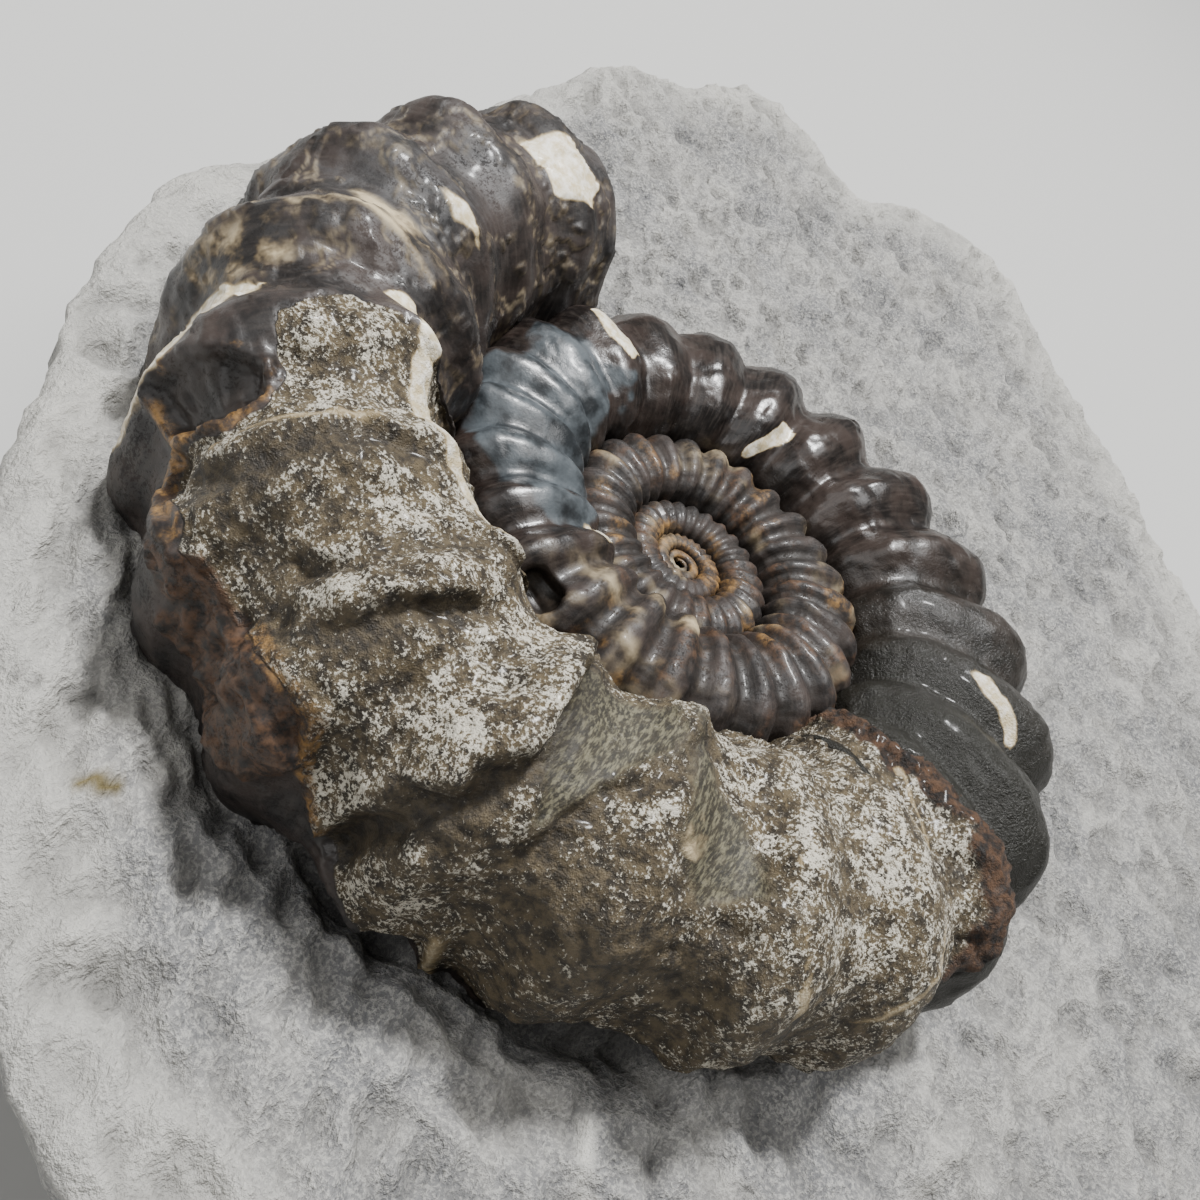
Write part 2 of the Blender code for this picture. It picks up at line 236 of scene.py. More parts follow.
def coil_tree():
    """A closed ribbed tube on a growing spiral. The grid's columns follow it and its rows go round it."""
    tree = bpy.data.node_groups.new("ribbed coil", "GeometryNodeTree")
    tree.interface.new_socket("Geometry", in_out="OUTPUT", socket_type="NodeSocketGeometry")
    floats = (*COIL_SETTINGS, "First Seam Radius", "Last Seam Radius", "Rib Height", "Rib Sharpness")
    kinds = dict.fromkeys(floats, "NodeSocketFloat") | {
        "Columns": "NodeSocketInt", "Rows": "NodeSocketInt", "Material": "NodeSocketMaterial"}
    for name, kind in kinds.items():
        tree.interface.new_socket(name, in_out="INPUT", socket_type=kind)
    add = partial(add_node, tree)
    given = tree.nodes.new("NodeGroupInput").outputs
    grid = add("GeometryNodeMeshGrid", {}, {"Vertices X": given["Columns"], "Vertices Y": given["Rows"]})
    spot = add("ShaderNodeSeparateXYZ", {}, [tree.nodes.new("GeometryNodeInputPosition")])

    # Column number, then the place along the coil; columns past either end fold in to close it
    last_column = add(MATH, "SUBTRACT", [given["Columns"], 1.0])
    along = add(MATH, "ADD", [spot.outputs[0], 0.5])
    column = add(MATH, "MULTIPLY", [along, last_column])
    body_last = add(MATH, "SUBTRACT", [last_column, given["Cap Columns"]])
    body_count = add(MATH, "SUBTRACT", [body_last, given["Cap Columns"]])
    past_start = add(MATH, "SUBTRACT", [column, given["Cap Columns"]])
    place = add(MATH, CLAMPED_DIVIDE, [past_start, body_count])
    short = add(MATH, "MULTIPLY", [past_start, -1.0])
    beyond = add(MATH, "SUBTRACT", [column, body_last])
    outside = add(MATH, "MAXIMUM", [short, beyond])
    folded = add(MATH, CLAMPED_DIVIDE, [outside, given["Cap Columns"]])

    # Whorl angle in degrees from the seam radius, which grows evenly along the columns
    seam = add(RANGE, {}, {
        "Value": place, "To Min": given["First Seam Radius"], "To Max": given["Last Seam Radius"]})
    growth = add(MATH, "DIVIDE", [seam, given["Seam Radius"]])
    growth_log = add(MATH, "LOGARITHM", [growth, given["Whorl Rate"]])
    degrees = add(MATH, "MULTIPLY", [growth_log, 360.0])
    radians = add(MATH, "RADIANS", [degrees])
    table_place = add(RANGE, {}, {
        "Value": degrees, "From Min": LAST_TURN[0][0], "From Max": LAST_TURN[-1][0]})
    span = LAST_TURN[-1][0] - LAST_TURN[0][0]
    venter_points = []
    width_points = []
    for angle, venter_radius, half_width in LAST_TURN:
        share = (angle - LAST_TURN[0][0]) / span
        venter_points.append((share, venter_radius / seam_radius(angle) / RATIO_RANGE))
        width_points.append((share, half_width / seam_radius(angle)))
    venter_share = add("ShaderNodeFloatCurve", {}, {"Value": table_place})
    set_curve(venter_share, venter_points, "AUTO")
    width_share = add("ShaderNodeFloatCurve", {}, {"Value": table_place})
    set_curve(width_share, width_points, "AUTO")
    venter_ratio = add(MATH, "MULTIPLY", [venter_share, RATIO_RANGE])
    venter = add(MATH, "MULTIPLY", [venter_ratio, seam])
    half_width = add(MATH, "MULTIPLY", [width_share, seam])
    inner = add(MATH, "MULTIPLY", [seam, given["Inner Share"]])
    both = add(MATH, "ADD", [inner, venter])
    middle = add(MATH, "MULTIPLY", [both, 0.5])
    half_height = add(MATH, "SUBTRACT", [venter, middle])

    # Angle round the section, with few rows on the side that the next turn or the stone hides
    across = add(MATH, "ADD", [spot.outputs[1], 0.5])
    turned = add("ShaderNodeFloatCurve", {}, {"Value": across})
    set_curve(turned, ((0.0, 0.0), (0.04, 0.062), (0.95, 0.66), (1.0, 1.0)), "VECTOR")
    section = add(RANGE, {}, {"Value": turned, "To Min": 180.0, "To Max": -180.0})
    section_turn = add(MATH, "RADIANS", [section])
    cosine = add(MATH, "COSINE", [section_turn])
    sine = add(MATH, "SINE", [section_turn])
    parts = []
    for wave in (cosine, sine):
        size = add(MATH, "ABSOLUTE", [wave])
        blunt = add(MATH, "POWER", [size, given["Shoulder Power"]])
        side = add(MATH, "SIGN", [wave])
        parts.append(add(MATH, "MULTIPLY", [blunt, side]))

    # Ribs: one crest for each whole step of the phase
    held_low = add(MATH, "MAXIMUM", [degrees, given["Ribs From"]])
    held = add(MATH, "MINIMUM", [held_low, given["Late Ribs From"]])
    phase = add(MATH, "DIVIDE", [held, given["Rib Step"]])
    early = add(MATH, "SUBTRACT", [degrees, held_low])
    early_phase = add(MATH, "DIVIDE", [early, given["Early Rib Step"]])
    held_late = add(MATH, "MAXIMUM", [degrees, given["Late Ribs From"]])
    late = add(MATH, "SUBTRACT", [held_late, given["Late Ribs From"]])
    late_phase = add(MATH, "DIVIDE", [late, given["Late Rib Step"]])
    phases = add(MATH, "ADD", [phase, early_phase])
    all_phases = add(MATH, "ADD", [phases, late_phase])
    crest_angle = add(MATH, "MULTIPLY_ADD", [all_phases, math.tau, math.pi])
    crest_wave = add(MATH, "COSINE", [crest_angle])
    crest = add(MATH, {"operation": "MULTIPLY_ADD", "use_clamp": True}, [crest_wave, 0.5, 0.5])
    rib = add(MATH, "POWER", [crest, given["Rib Sharpness"]])
    half_turn = add(MATH, "MULTIPLY", [section_turn, 0.5])
    towards_venter = add(MATH, "COSINE", [half_turn])
    squared = add(MATH, "POWER", [towards_venter, 2.0])
    strength = add(MATH, "MULTIPLY_ADD", [squared, 0.55, 0.45])
    rib_size = add(MATH, "MULTIPLY", [venter, given["Rib Height"]])
    rib_share = add(MATH, "MULTIPLY", [rib, strength])
    rib_rise = add(MATH, "MULTIPLY", [rib_share, rib_size])

    # Section point, folded in to the section's middle at the ends, then turned about the coil's axis
    wide = add(MATH, "MULTIPLY", [half_height, parts[0]])
    wide_rib = add(MATH, "MULTIPLY_ADD", [rib_rise, cosine, wide])
    high = add(MATH, "MULTIPLY", [half_width, parts[1]])
    high_rib = add(MATH, "MULTIPLY_ADD", [rib_rise, sine, high])
    kept = add(MATH, "SUBTRACT", [1.0, folded])
    wide_kept = add(MATH, "MULTIPLY", [wide_rib, kept])
    height = add(MATH, "MULTIPLY", [high_rib, kept])
    radius = add(MATH, "ADD", [middle, wide_kept])
    coil_cosine = add(MATH, "COSINE", [radians])
    coil_sine = add(MATH, "SINE", [radians])
    clockwise = add(MATH, "MULTIPLY", [coil_sine, -1.0])
    east = add(MATH, "MULTIPLY", [radius, coil_cosine])
    north = add(MATH, "MULTIPLY", [radius, clockwise])
    where = add("ShaderNodeCombineXYZ", {}, [east, north, height])

    named = grid
    for name, field in (("whorl_angle", degrees), ("section_angle", section), ("folded", folded)):
        named = add("GeometryNodeStoreNamedAttribute", {"data_type": "FLOAT", "Name": name},
                    {"Geometry": named, "Value": field})
    moved = add("GeometryNodeSetPosition", {}, {"Geometry": named, "Position": where})
    welded = add("GeometryNodeMergeByDistance", {"Distance": 0.001 * MM}, {"Geometry": moved})
    realized = add("GeometryNodeRealizeInstances", {}, [welded])
    dressed = add("GeometryNodeSetMaterial", {}, {"Geometry": realized, "Material": given["Material"]})
    outputs = tree.nodes.new("NodeGroupOutput")
    tree.links.new(dressed.outputs[0], outputs.inputs[0])
    return tree


def coil_mesh(tree, name, first_angle, last_angle, grid, ribs, material):
    """Evaluates the coil tree once and keeps the result as a plain mesh, still in the coil's frame."""
    values = COIL_SETTINGS | {
        "Columns": grid[0], "Rows": grid[1], "First Seam Radius": seam_radius(first_angle) * MM,
        "Last Seam Radius": seam_radius(last_angle) * MM, "Rib Height": ribs[0],
        "Rib Sharpness": ribs[1], "Material": material,
    }
    item = add_item(name, bpy.data.meshes.new(name + " start"))
    modifier = item.modifiers.new("coil", "NODES")
    modifier.node_group = tree
    for socket in tree.interface.items_tree:
        if socket.in_out == "INPUT":
            modifier[socket.identifier] = values[socket.name]
    graph = bpy.context.evaluated_depsgraph_get()
    evaluated = item.evaluated_get(graph)
    mesh = bpy.data.meshes.new_from_object(evaluated, preserve_all_data_layers=True, depsgraph=graph)
    item.modifiers.remove(modifier)
    item.data = mesh
    mesh.name = name
    turn_outward(mesh)
    return item


def read_array(items, name, width):
    """A property of every item, one row for each."""
    values = np.zeros(width * len(items), np.float32)
    items.foreach_get(name, values)
    return values.reshape(-1, width).astype(float)


def write_points(mesh, points):
    mesh.vertices.foreach_set("co", (points * MM).astype(np.float32).ravel())
    mesh.update()


def write_masks(mesh, **masks):
    """Stores each named mask on the vertices for the material to read."""
    for name, values in masks.items():
        layer = mesh.attributes.new(name, "FLOAT", "POINT")
        layer.data.foreach_set("value", np.clip(values, 0.0, 1.0).astype(np.float32))


def coil_places(mesh):
    """Whorl angle, section angle, place in millimetres and normal of each vertex, in the coil's frame."""
    angle, section = (read_array(mesh.attributes[name].data, "value", 1)[:, 0]
                      for name in ("whorl_angle", "section_angle"))
    points = read_array(mesh.vertices, "co", 3) / MM
    return angle, section, points, read_array(mesh.vertex_normals, "vector", 3)


def wandering(points):
    """The wander that makes every drawn edge ragged."""
    return grain(points, 2.4, 31) + 0.6 * grain(points, 0.9, 37)


def turn_outward(mesh):
    bulk = bmesh.new()
    bulk.from_mesh(mesh)
    bmesh.ops.recalc_face_normals(bulk, faces=bulk.faces[:])
    bulk.to_mesh(mesh)
    bulk.free()


def finish_item(item, node, matrix=None):
    """Lays the mesh in the part's frame, turns its faces outward and hands it to the frame."""
    if matrix is not None:
        item.data.transform(matrix)
    turn_outward(item.data)
    item.data.shade_smooth()
    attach(item, "root")
    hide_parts(node)


def main_camera():
    """Camera where the photograph was taken from, found from the coil's spiral in the picture."""
    forward = Vector((0.0, math.cos(CAMERA_ELEVATION), -math.sin(CAMERA_ELEVATION)))
    level = Vector((1.0, 0.0, 0.0))
    upright = Vector((0.0, math.sin(CAMERA_ELEVATION), math.cos(CAMERA_ELEVATION)))
    right = math.cos(CAMERA_ROLL) * level + math.sin(CAMERA_ROLL) * upright
    up = math.cos(CAMERA_ROLL) * upright - math.sin(CAMERA_ROLL) * level
    across = (COIL_CENTRE_PIXEL[0] - PHOTO_PIXELS / 2) / FOCAL_PIXELS
    above = -(COIL_CENTRE_PIXEL[1] - PHOTO_PIXELS / 2) / FOCAL_PIXELS
    distance = FOCAL_PIXELS / PIXELS_PER_MM * MM
    data = bpy.data.cameras.new("photo camera")
    data.sensor_width = 36.0
    data.lens = FOCAL_PIXELS / PHOTO_PIXELS * data.sensor_width
    data.clip_start = 1.0 * MM
    camera = add_item("photo camera", data)
    matrix = Matrix((right, up, -forward)).transposed().to_4x4()
    matrix.translation = COIL_CENTRE - (forward + across * right + above * up) * distance
    camera.matrix_world = matrix
    bpy.context.scene.camera = camera


# Materials

def add_material(name):
    material = bpy.data.materials.new(name)
    material.use_nodes = True
    tree = material.node_tree
    tree.nodes.clear()
    output = tree.nodes.new("ShaderNodeOutputMaterial")
    shader = tree.nodes.new("ShaderNodeBsdfPrincipled")
    tree.links.new(shader.outputs[0], output.inputs[0])
    return material, tree, shader


def per_mm(size):
    """The scale of a noise whose lumps are this many millimetres across."""
    return 1.0 / (size * MM)


def sharp_mask(add, name, noise, softness):
    """A stored mask whose edge follows the noise."""
    stored = add(ATTRIBUTE, {"attribute_name": name}, {}).outputs["Fac"]
    moved = add(MATH, "MULTIPLY_ADD", [noise, 0.5, -0.25])
    total = add(MATH, "ADD", [stored, moved])
    return add(RANGE, SOFT, [total, 0.5 - softness, 0.5 + softness])


def fossil_material():
    """Fossil shell over a mudstone mould, set hard with calcite and cleaned with needle and brush. The
    dark shell keeps fine growth lines across each whorl and a satin gloss. Calcite grains whiten the
    mould's proud parts, which look dusted, and broken shell edges show amber. Faces turned up carry
    extra white as painted light, and hollows are darkened with painted shade."""
    material, tree, shader = add_material("fossil_shell")
    add = partial(add_node, tree)
    place = add("ShaderNodeTexCoord", {}, {}).outputs["Object"]
    names = ("whorl_angle", "section_angle", "hollow", "dust", "smooth", "cream", "net", "calcite")
    stored = {name: add(ATTRIBUTE, {"attribute_name": name}, {}).outputs["Fac"] for name in names}

    # Noises: lump size in millimetres, detail, roughness and distortion. A real grain of sugary calcite is
    # about 0.1 mm, too fine to show, so it is drawn at 0.24 mm.
    edge_noise, cloud, sugar, strokes, patches = (
        add(NOISE, {"Scale": per_mm(size), "Detail": detail, "Roughness": roughness,
                    "Distortion": distortion}, {"Vector": place})
        for size, detail, roughness, distortion in (
            (0.8, 4.0, 0.7, 0.0), (3.2, 4.0, 0.62, 0.0), (0.24, 3.0, 0.8, 0.0), (0.9, 3.0, 0.6, 2.5),
            (1.7, 3.0, 0.6, 0.0)))
    crust = sharp_mask(add, "crust", edge_noise, 0.12)
    calcite, amber, red = (sharp_mask(add, name, edge_noise, 0.3) for name in ("calcite", "amber", "red"))
    blue = sharp_mask(add, "blue", edge_noise, 0.4)

    # Shell: growth lines are noise stretched across the whorl, over clouded brown
    line_place = add(MATH, "MULTIPLY", [stored["whorl_angle"], 1.1])
    line_side = add(MATH, "MULTIPLY", [stored["section_angle"], 0.06])
    line_spot = add("ShaderNodeCombineXYZ", {}, [line_place, line_side])
    lines = add(NOISE, {"Scale": 1.0, "Detail": 3.0, "Distortion": 0.6}, {"Vector": line_spot})
    line_share = add(RANGE, SOFT, [lines, 0.42, 0.7, 0.0, 0.18])
    cloud_share = add(RANGE, SOFT, [cloud, 0.38, 0.62])
    clouded = add(MIX, COLOURS, {"Factor": cloud_share, "A": "#130F0E", "B": "#332A26"})
    lined = add(MIX, COLOURS, {"Factor": line_share, "A": clouded, "B": "#5E5650"})
    shell = add(MIX, COLOURS, {"Factor": stored["smooth"], "A": lined, "B": "#15140C"})

    # Mould: white grains gather in patches, and a net of fibres lies over the bulge
    flaky = add(RANGE, SOFT, [edge_noise, 0.36, 0.66])
    brown = add(MIX, COLOURS, {"Factor": flaky, "A": "#261F14", "B": "#60543E"})
    stroke_part = add(MATH, "MULTIPLY", [strokes, 0.35])
    grains = add(MATH, "MULTIPLY_ADD", [sugar, 1.6, stroke_part])
    gathered = add(MATH, "MULTIPLY_ADD", [patches, 0.85, grains])
    # the dust mask whitens the grains, with painted light on faces turned up and painted shade at the
    # terraces' feet
    dusted = add(MATH, "MULTIPLY_ADD", [stored["dust"], 0.32, gathered])
    bend = (2.5 * MM, 2.5 * MM, 2.5 * MM)
    bent = add("ShaderNodeVectorMath", "MULTIPLY_ADD", [strokes.outputs["Color"], bend, place])
    cells = add("ShaderNodeTexVoronoi", {"feature": "DISTANCE_TO_EDGE", "Scale": per_mm(1.5)},
                {"Vector": bent})
    fibres = add(RANGE, SOFT, [cells, 0.0, 0.12, 0.2, 0.0])
    netted = add(MATH, "MULTIPLY_ADD", [fibres, stored["net"], dusted])
    white_share = add(RANGE, SOFT, [netted, 1.68, 1.86, 0.0, 0.9])
    crusted = add(MIX, COLOURS, {"Factor": white_share, "A": brown, "B": "#D3CDBD"})

    # Smooth facets of the mould: scratched olive stone
    drawn = add("ShaderNodeMapping", {"Rotation": (0.0, 0.0, 0.9), "Scale": (1.0, 0.3, 1.0)},
                {"Vector": place})
    scratches = add(NOISE, {"Scale": per_mm(0.2), "Detail": 2.0, "Roughness": 0.7}, {"Vector": drawn})
    scratch_share = add(RANGE, SOFT, [scratches, 0.42, 0.66])
    olive = add(MIX, COLOURS, {"Factor": scratch_share, "A": "#24221A", "B": "#6C6854"})
    smooth_share = add(MATH, "MULTIPLY", [stored["smooth"], 0.85])
    mould = add(MIX, COLOURS, {"Factor": smooth_share, "A": crusted, "B": olive})

    # Mould over shell, then each stain or filling over that, and painted shade in hollows: its share, and
    # its tone between two colours
    base = add(MIX, COLOURS, {"Factor": crust, "A": shell, "B": mould})
    cream_share = add(MATH, "MULTIPLY", [stored["cream"], cloud_share])
    painted_shade_share = add(MATH, "MULTIPLY", [stored["hollow"], 0.8])
    calcite_core = add(RANGE, SOFT, [stored["calcite"], 0.45, 0.9])
    calcite_white = add(MIX, COLOURS, {"Factor": flaky, "A": "#C4B48E", "B": "#EEE9DC"})
    for share, tone, low, high in (
            (blue, cloud_share, "#1D2124", "#50565A"),
            (red, flaky, "#130D09", "#523A27"),
            (cream_share, cloud_share, "#8A7550", "#B8A888"),
            (amber, flaky, "#2A1A0C", "#94703E"),
            # painted shade: darkens the hollows of the crust, the seam, the rib valleys and the pit
            (painted_shade_share, 0.0, "#17110B", "#17110B"),
            (calcite, calcite_core, "#A8946C", calcite_white)):
        colour = add(MIX, COLOURS, {"Factor": tone, "A": low, "B": high})
        base = add(MIX, COLOURS, {"Factor": share, "A": base, "B": colour})
    tree.links.new(shown(base.outputs, ""), shader.inputs["Base Color"])

    # Gloss: shell shines, dusted mould is matt
    worn = add(RANGE, SOFT, [stored["dust"], 0.0, 1.0, 0.2, 0.5])
    facets = add(MATH, "MULTIPLY_ADD", [stored["smooth"], 0.1, worn])
    crust_part = add(RANGE, SOFT, [crust, 0.0, 1.0, 0.0, 0.25])
    white_part = add(RANGE, SOFT, [white_share, 0.0, 1.0, 0.0, 0.3])
    matt = add(MATH, "ADD", [crust_part, facets])
    matter = add(MATH, "ADD", [matt, white_part])
    mottled = add(MATH, "MULTIPLY_ADD", [edge_noise, 0.2, matter])
    tree.links.new(mottled.outputs[0], shader.inputs["Roughness"])
    shader.inputs["Coat Weight"].default_value = 0.1
    shader.inputs["Coat Roughness"].default_value = 0.15

    # Grains stand up from the mould, pits lie all over, and growth lines just show
    grainy = add(MATH, "MULTIPLY_ADD", [stored["smooth"], -0.75, crust])
    raised = add(MATH, "MULTIPLY", [grains, grainy])
    bump = None
    for strength, depth, heights in ((1.0, 0.17, raised), (0.5, 0.1, edge_noise), (0.15, 0.05, lines)):
        under = {"Normal": bump} if bump else {}
        bump = add(BUMP, {"Strength": strength, "Distance": depth * MM}, {"Height": heights, **under})
    tree.links.new(bump.outputs[0], shader.inputs["Normal"])
    return material


STREAK_ANGLE = math.radians(-38.0)


def limestone_material():
    """Grey limestone, scraped and brushed clean with steel tools, which leaves it matt, with faint
    streaks all one way. Clay blotches darken the pale grey, painted shade darkens the pin pits, the
    dents and the ground beside the shell, and fresh breaks on the rim are paler."""
    material, tree, shader = add_material("grey_limestone")
    add = partial(add_node, tree)
    place = add("ShaderNodeTexCoord", {}, {}).outputs["Object"]
    pale, gold, hollow = (add(ATTRIBUTE, {"attribute_name": name}, {}).outputs["Fac"]
                          for name in ("pale", "gold", "hollow"))
    drawn = add("ShaderNodeMapping",
                {"Rotation": (0.0, 0.0, STREAK_ANGLE), "Scale": (1.0, 0.45, 1.0)}, {"Vector": place})
    # Noises: where they are read, lump size in millimetres, detail and roughness
    streaks, pits, blotches, grains = (
        add(NOISE, {"Scale": per_mm(size), "Detail": detail, "Roughness": roughness}, {"Vector": spot})
        for spot, size, detail, roughness in (
            (drawn, 2.2, 4.0, 0.7), (drawn, 1.1, 4.0, 0.58), (place, 9.0, 4.0, 0.62),
            (place, 0.3, 3.0, 0.75)))
    # the pits' darker grey is painted shade, following the low places of the bump
    blotch_share, pit_shade, streak_share, grain_share = (
        add(RANGE, SOFT, [noise, start, end, low, high])
        for noise, start, end, low, high in (
            (blotches, 0.36, 0.66, 0.0, 1.0), (pits, 0.40, 0.56, 0.45, 0.0),
            (streaks, 0.46, 0.62, 0.0, 0.35), (grains, 0.44, 0.62, 0.0, 0.45)))
    # painted shade: the slab's dents, cracks, side recesses and the ground beside the shell
    painted_shade_share = add(MATH, "MULTIPLY", [hollow, 0.7])
    base = add(MIX, COLOURS, {"Factor": blotch_share, "A": "#7B7B7B", "B": "#A6A49F"})
    for share, colour in (
            (pit_shade, "#4F5054"), (streak_share, "#6A6A6A"), (grain_share, "#C9C7C0"), (pale, "#BFBDB6"),
            (gold, "#655A38"), (painted_shade_share, "#393836")):
        base = add(MIX, COLOURS, {"Factor": share, "A": base, "B": colour})
    tree.links.new(shown(base.outputs, ""), shader.inputs["Base Color"])
    shader.inputs["Roughness"].default_value = 0.82
    heights = add(MATH, "MULTIPLY_ADD", [grains, 0.35, pits])
    bump = add(BUMP, {"Strength": 1.0, "Distance": 0.8 * MM}, {"Height": heights})
    tree.links.new(bump.outputs[0], shader.inputs["Normal"])
    return material


# The swollen last half turn. Places on it are (whorl angle, section angle) in degrees, read off the photo.

MM_PER_WHORL_DEGREE = 0.5
MM_PER_SECTION_DEGREE = 0.17

# Where the crust starts and where it gives way to shell, as (section angle, whorl angle)
CRUST_EDGE = ((-180, 38), (-60, 38), (0, 34), (36, 28), (66, 24), (96, 25), (112, 28), (180, 28))
SHELL_EDGE = (
    (-180, 132), (10, 132), (40, 130), (56, 134), (62, 139), (84, 143), (96, 142), (106, 140), (180, 138),
)
# Lowest reach of the crust on the outer side, as (whorl angle, section angle)
LOW_EDGE = (
    (60, -60), (84, -40), (92, -16), (98, -6), (102, 2), (105, 12), (108, 22), (112, 18), (116, 12),
    (122, 14), (127, 10), (132, 12), (140, 20), (150, 30),
)
# Terraces, where the crust drops towards the older shell: a line of (section angle, whorl angle), the drop
# in millimetres, and the section angles between which it shows
TERRACES = (
    (((28, 127), (52, 126), (76, 126), (96, 124)), 0.55, (24, 92)),
    (((30, 118), (60, 114), (90, 113), (104, 107)), 0.35, (40, 108)),
    (((40, 110), (58, 109), (72, 107), (90, 104)), 0.75, (42, 84)),
    (((-10, 99), (22, 96), (46, 93), (66, 91), (90, 92), (104, 94)), 1.1, (-20, 112)),
    (((32, 87), (50, 86), (66, 84), (82, 80), (98, 76)), 0.45, (36, 104)),
)
SMOOTH_FACET = ((92, 96), (79, 103), (77, 92), (82, 78), (85, 54), (87, 42), (89, 62), (91, 80))
SMOOTH_STRIPE = ((78, 108), (74, 92), (67, 84), (63, 62), (70, 50), (75, 70), (76, 92))
OVAL_FACET = ((139, 14), (138.5, 28), (137, 42), (135, 54), (132, 52), (130.5, 38), (132, 24), (135, 15))
AMBER_LIP = (
    (134, 56), (131, 50), (130, 38), (132, 26), (133, 16), (132, 10), (130, 8), (127, 10), (124, 15),
)
BROKEN_FLAKE = (
    (126, 6), (121, 19), (117, 14), (113, 18), (109, 23), (105, 22), (104, 10), (105, -2), (112, -8),
    (120, -4),
)
FLAKE_EDGE = ((113, 19), (109, 24), (105, 22), (104, 12), (103, 4), (99, -4))
UMBILICAL_CALCITE = (
    (147, 97), (143, 103), (139, 104), (135, 102), (128, 98), (122, 101), (116, 104), (110, 99),
)
CALCITE_PATCHES = (
    ((149, 36), (146, 58), (143, 46), (140, 24), (139, 0), (141, -14), (147, -4), (150, 16)),
    ((198, 88), (206, 88), (209, 106), (206, 122), (199, 112)),
    ((171, 90), (173, 104), (171, 120), (169.5, 104)),
    ((66, -26), (62, -27), (60, -21), (64, -18)),
)
WHITE_LINES = (
    ((32, 104), (35, 84), (37, 60), (36, 34)),
    ((42, 96), (40, 72), (42, 44), (48, 18)),
    ((62, 90), (61, 60), (58, 26)),
    ((128, 30), (127, 60), (126, 84)),
)
CREAM_STAINS = (
    ((164, 76), (162, 96), (156, 108), (157, 92), (160, 78)),
    ((155, 14), (154.5, 52), (150, 62), (148.5, 44), (150, 22)),
)
CREAM_ARC = ((158, 40), (156, 62), (157, 80), (156, 92), (153, 106))
# Middle and half sizes of soft ovals
CREAM_SPOT = ((73, 70), (1.6, 7))
BULGE = ((50, 42), (14, 62))
# Knobs along the shoulder: whorl angle, half width in degrees and height in millimetres
KNOB_SECTION = 104
KNOBS = ((94, 4.5, 0.1), (77, 4.0, 0.5))
# Hollows towards the seam: depth in millimetres, section angles from none to full, whorl angles, softness
SEAM_HOLLOWS = ((1.9, 96, 124, 96, 150, 10), (1.2, 100, 126, 40, 96, 10), (0.9, 78, 104, 84, 106, 5))
# A cream peg on the lower flank, and the stretches of whorl angle where fossil and stone part below it
PEG_ANGLE = 86.5
UNDERCUTS = ((87, 99, 2.5), (60, 75, 3))

# The inner whorls: a blue filling, a pit and white calcite
BLUE_FILLING = ((-196, 110), (40, 60))
PIT = ((-251, 42), (4, 16))
INNER_CALCITE = ((-154, 62), (-148, 66), (-145, 98), (-151, 104), (-155, 86))
# Calcite bands: path and width in millimetres
INNER_CALCITE_BANDS = ((((-97, 150), (-93, 134), (-91, 114)), 2.2), (((-5, 88), (-2, 74), (-7, 94)), 1.3))
INNER_CALCITE_SPOT = ((-240, 120), (4, 16))


def unrolled(angle, section):
    """Places on the last turn laid flat, in millimetres."""
    return np.column_stack((MM_PER_WHORL_DEGREE * np.asarray(angle, float),
                            MM_PER_SECTION_DEGREE * np.asarray(section, float)))


def line_distance(angle, section, path):
    """Distance in millimetres to a path drawn on the last turn."""
    return path_distance(unrolled(angle, section), unrolled(*zip(*path)))


def band(angle, section, path, width, ragged=0.0):
    """A mask along a path; width and ragged in millimetres."""
    away = line_distance(angle, section, path) + ragged
    return 1.0 - rise(away, 0.5 * width - 0.2, 0.5 * width + 0.2)


def region(angle, section, corners, ragged=0.0, soft=0.25):
    """A mask inside an outline; ragged and soft in millimetres."""
    spots = unrolled(angle, section)
    outline = unrolled(*zip(*corners))
    inside = np.zeros(len(spots), bool)
    for start, end in zip(outline, np.roll(outline, -1, axis=0)):
        crosses = (start[1] > spots[:, 1]) != (end[1] > spots[:, 1])
        level = (spots[:, 1] - start[1]) / (end[1] - start[1] or 1e-9)
        inside ^= crosses & (spots[:, 0] < start[0] + level * (end[0] - start[0]))
    nearest = line_distance(angle, section, corners + corners[:1])
    return rise(np.where(inside, nearest, -nearest) + ragged, -soft, soft)


def patch(angle, section, centre, half, ragged=0.0):
    """A soft oval mask with its half sizes in degrees."""
    reach = np.hypot((angle - centre[0]) / half[0], (section - centre[1]) / half[1]) + ragged
    return 1.0 - rise(reach, 0.85, 1.15)


def between_places(values, start, end, soft):
    """1 between start and end, falling to 0 over soft on either side of each."""
    return rise(values, start - soft, start + soft) * (1.0 - rise(values, end - soft, end + soft))


def undercut(angle):
    """1 where fossil and stone part below the last turn."""
    return sum(between_places(angle, *place) for place in UNDERCUTS)


def rib_wave(angle):
    """1 on a rib's crest, 0 between ribs, as in the coil's tree."""
    held = np.maximum(angle, RIBS_FROM)
    phase = 0.5 + np.minimum(held, LATE_RIBS_FROM) / RIB_STEP + (angle - held) / EARLY_RIB_STEP
    phase += np.maximum(angle - LATE_RIBS_FROM, 0.0) / LATE_RIB_STEP
    return 0.5 + 0.5 * np.cos(math.tau * phase)


def terraces(angle, section, wander):
    """Height of the crust's broken ridges, and the weight of painted shade at their feet: a slow rise to
    each crest, then a steep drop.
    """
    height = np.zeros(len(angle))
    hollow = np.zeros(len(angle))
    for line, drop, (low, high) in TERRACES:
        past = MM_PER_WHORL_DEGREE * (angle - smooth_line(section, line)) + 0.35 * wander
        reach = between_places(section, low, high, 8.0)
        crest = np.where(past > 0, np.exp(-np.maximum(past, 0) / 1.9), rise(past, -0.45, 0.0))
        foot = np.exp(-((past + 0.9) / 0.75) ** 2)
        height += reach * drop * (crest - 0.65 * foot)
        hollow += reach * min(drop, 0.9) * foot
    return height, hollow


